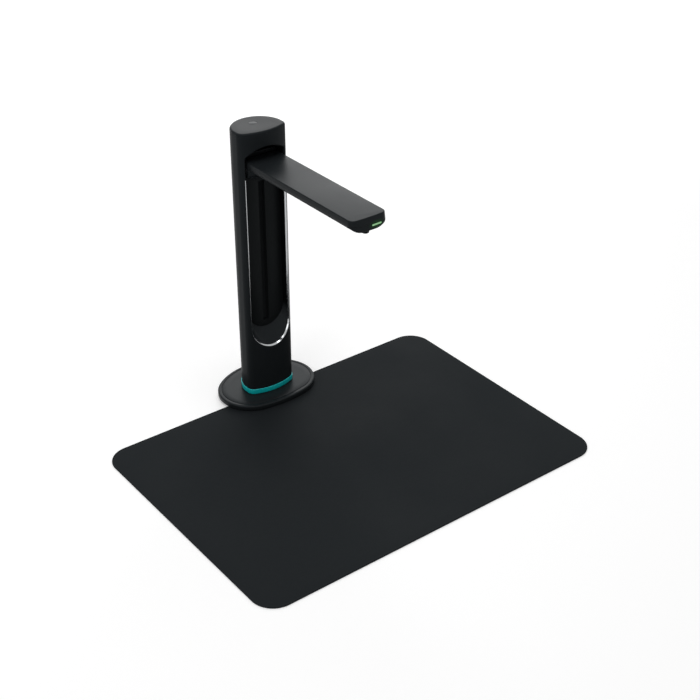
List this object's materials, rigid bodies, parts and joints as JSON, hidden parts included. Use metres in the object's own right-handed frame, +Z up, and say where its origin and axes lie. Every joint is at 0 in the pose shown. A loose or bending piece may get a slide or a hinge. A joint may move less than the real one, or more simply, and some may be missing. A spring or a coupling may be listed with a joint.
{
  "type": "book scanner",
  "caption": "Desk book scanner: a recessed column on a weighted oval base, a camera arm that folds down into it, and a dark scan mat.",
  "frame": {"origin": "on the desk, under the middle of the whole footprint of mat and stand", "axes": "+Z up, front (the reader's side) towards -Y, +X to the reader's right"},
  "size_m": [0.46, 0.3856, 0.3445],
  "materials": {
    "mat_rubber": "matt, fine-grained",
    "shell_plastic": "satin, fine spark texture",
    "arm_plastic": "satin, fine spark texture",
    "liner_plastic": "matt",
    "trim_silver": "bright plated",
    "accent_teal": "satin",
    "inner_black": "matt",
    "foot_rubber": "matt",
    "steel": "plain",
    "dark_steel": "blackened",
    "board_green": "solder mask",
    "board_white": "white solder mask",
    "chip_black": "moulded",
    "sink_aluminium": "extruded",
    "brass": "turned",
    "sleeve_steel": "spring steel",
    "lens_glass": "coated",
    "laser_red": "tinted",
    "diffuser_white": "frosted",
    "led_yellow": "phosphor",
    "status_green": "lit light guide",
    "ribbon_white": "flat cable",
    "touch_grey": "smooth"
  },
  "bodies": {
    "stand": {"scan_mat": "mat_rubber", "base_cover": "shell_plastic", "base_plate": "inner_black", "ballast_plate": "steel", "front_feet": "foot_rubber", "rear_feet": "foot_rubber", "base_screws": "steel", "column_screws": "steel", "accent_ring": "accent_teal", "column_shell": "shell_plastic", "rear_cover": "shell_plastic", "recess_liner": "liner_plastic", "recess_floor": "liner_plastic", "hinge_pocket": "liner_plastic", "trim_frame": "trim_silver", "top_cap": "shell_plastic", "touch_disc": "touch_grey", "touch_board": "board_green", "touch_screws": "steel", "hinge_bracket": "dark_steel", "bracket_screws": "steel", "hinge_shaft": "steel", "main_board": "board_green", "board_screws": "steel", "processor": "chip_black", "heat_sink": "sink_aluminium", "memory_chips": "chip_black", "usb_shell": "steel", "usb_tongue": "inner_black", "column_ribbon": "ribbon_white"},
    "arm": {"arm_top": "arm_plastic", "arm_bottom": "arm_plastic", "hinge_bushes": "brass", "friction_sleeves": "sleeve_steel", "camera_board": "board_green", "camera_screws": "steel", "image_sensor": "chip_black", "lens_holder": "inner_black", "lens_barrel": "inner_black", "lens_glass": "lens_glass", "lens_ring": "inner_black", "laser_module": "brass", "laser_window": "laser_red", "lamp_diffuser": "diffuser_white", "lamp_board": "board_white", "lamp_leds": "led_yellow", "status_guide": "status_green", "status_led": "led_yellow", "arm_screws": "steel", "arm_ribbon": "ribbon_white"}
  },
  "joints": [
    {"name": "arm_fold", "type": "hinge", "parent": "stand", "child": "arm", "pos_m": [0, 0.13365, 0.3005], "axis": [1, 0, 0], "range_deg": [0, 90]}
  ]
}
